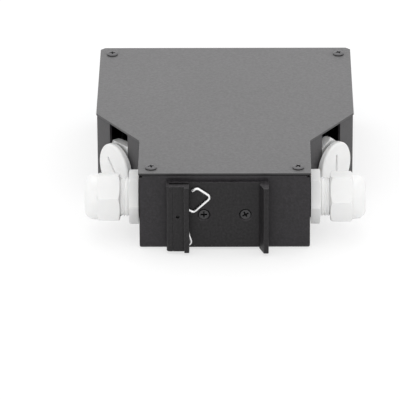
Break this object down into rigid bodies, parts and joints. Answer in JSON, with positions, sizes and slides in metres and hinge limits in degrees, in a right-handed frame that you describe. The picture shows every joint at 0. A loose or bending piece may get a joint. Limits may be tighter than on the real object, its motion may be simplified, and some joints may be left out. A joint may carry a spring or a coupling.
{
  "type": "din rail fibre box",
  "caption": "T-shaped sheet steel fibre splice box with a clip for a top-hat rail, cable glands in its neck and fibre adapters at its wide end.",
  "frame": {"origin": "middle of the rail seat on the clip's plate", "axes": "+X to the right and across the rail, +Y away from the rail through the box to its adapters, +Z from the floor to the cover and along the rail"},
  "size_m": [0.1356, 0.1826, 0.041],
  "materials": {
    "cover_coat": "satin fine-texture powder coat",
    "body_coat": "satin fine-texture powder coat",
    "clip_coat": "satin black anodised extrusion",
    "black_screw": "black zinc",
    "plated_steel": "bright zinc",
    "spring_wire": "drawn stainless wire",
    "adapter_plastic": "moulded",
    "sleeve_ceramic": "ground",
    "cap_plastic": "moulded",
    "seal_rubber": "matt",
    "white_nylon": "moulded nylon, satin",
    "tray_plastic": "moulded",
    "comb_plastic": "moulded"
  },
  "bodies": {
    "housing": {"body_tray": "body_coat", "cover": "cover_coat", "cover_screws": "black_screw", "cover_nuts": "plated_steel", "front_panel": "body_coat", "panel_screws": "black_screw", "panel_nuts": "plated_steel", "adapter_1": "adapter_plastic", "adapter_2": "adapter_plastic", "adapter_3": "adapter_plastic", "adapter_screws": "plated_steel", "sleeve_1": "sleeve_ceramic", "sleeve_2": "sleeve_ceramic", "sleeve_3": "sleeve_ceramic", "sleeve_4": "sleeve_ceramic", "sleeve_5": "sleeve_ceramic", "sleeve_6": "sleeve_ceramic", "rail_bracket": "clip_coat", "bracket_screws": "black_screw", "bracket_nuts": "plated_steel", "spring_pin": "black_screw", "gland_left_gasket": "seal_rubber", "gland_left_body": "white_nylon", "gland_left_locknut": "white_nylon", "gland_right_gasket": "seal_rubber", "gland_right_body": "white_nylon", "gland_right_locknut": "white_nylon", "plug_left": "white_nylon", "plug_left_gasket": "seal_rubber", "plug_left_locknut": "white_nylon", "plug_right": "white_nylon", "plug_right_gasket": "seal_rubber", "plug_right_locknut": "white_nylon", "splice_tray": "tray_plastic", "splice_comb": "comb_plastic", "tray_spacers": "plated_steel", "tray_screws": "plated_steel"},
    "cap_1": {"dust_cap_1": "cap_plastic"},
    "cap_2": {"dust_cap_2": "cap_plastic"},
    "cap_3": {"dust_cap_3": "cap_plastic"},
    "cap_4": {"dust_cap_4": "cap_plastic"},
    "cap_5": {"dust_cap_5": "cap_plastic"},
    "cap_6": {"dust_cap_6": "cap_plastic"},
    "spring": {"rail_spring": "spring_wire"},
    "left_cage": {"gland_left_claw": "white_nylon", "gland_left_seal": "seal_rubber"},
    "left_cap_nut": {"gland_left_nut": "white_nylon"},
    "right_cage": {"gland_right_claw": "white_nylon", "gland_right_seal": "seal_rubber"},
    "right_cap_nut": {"gland_right_nut": "white_nylon"}
  },
  "joints": [
    {"name": "cap_1_pull", "type": "slide", "parent": "housing", "child": "cap_1", "axis": [0, 1, 0], "range_m": [0, 0.02]},
    {"name": "cap_2_pull", "type": "slide", "parent": "housing", "child": "cap_2", "axis": [0, 1, 0], "range_m": [0, 0.02]},
    {"name": "cap_3_pull", "type": "slide", "parent": "housing", "child": "cap_3", "axis": [0, 1, 0], "range_m": [0, 0.02]},
    {"name": "cap_4_pull", "type": "slide", "parent": "housing", "child": "cap_4", "axis": [0, 1, 0], "range_m": [0, 0.02]},
    {"name": "cap_5_pull", "type": "slide", "parent": "housing", "child": "cap_5", "axis": [0, 1, 0], "range_m": [0, 0.02]},
    {"name": "cap_6_pull", "type": "slide", "parent": "housing", "child": "cap_6", "axis": [0, 1, 0], "range_m": [0, 0.02]},
    {"name": "spring_press", "type": "slide", "parent": "housing", "child": "spring", "axis": [-1, 0, 0], "range_m": [0, 0.0016], "stiffness_N_per_m": 4000},
    {"name": "left_nut_travel", "type": "slide", "parent": "housing", "child": "left_cage", "axis": [-1, 0, 0], "range_m": [-0.003, 0.003]},
    {"name": "left_nut_turn", "type": "hinge", "parent": "left_cage", "child": "left_cap_nut", "pos_m": [-0.041, 0.0202, 0.0002], "axis": [-1, 0, 0], "range_deg": [-720, 720]},
    {"name": "right_nut_travel", "type": "slide", "parent": "housing", "child": "right_cage", "axis": [1, 0, 0], "range_m": [-0.003, 0.003]},
    {"name": "right_nut_turn", "type": "hinge", "parent": "right_cage", "child": "right_cap_nut", "pos_m": [0.041, 0.0202, 0.0002], "axis": [1, 0, 0], "range_deg": [-720, 720]}
  ],
  "couplings": [
    {"joint": "left_nut_travel", "follows": "left_nut_turn", "m_per_rad": 0.00023873},
    {"joint": "right_nut_travel", "follows": "right_nut_turn", "m_per_rad": 0.00023873}
  ]
}
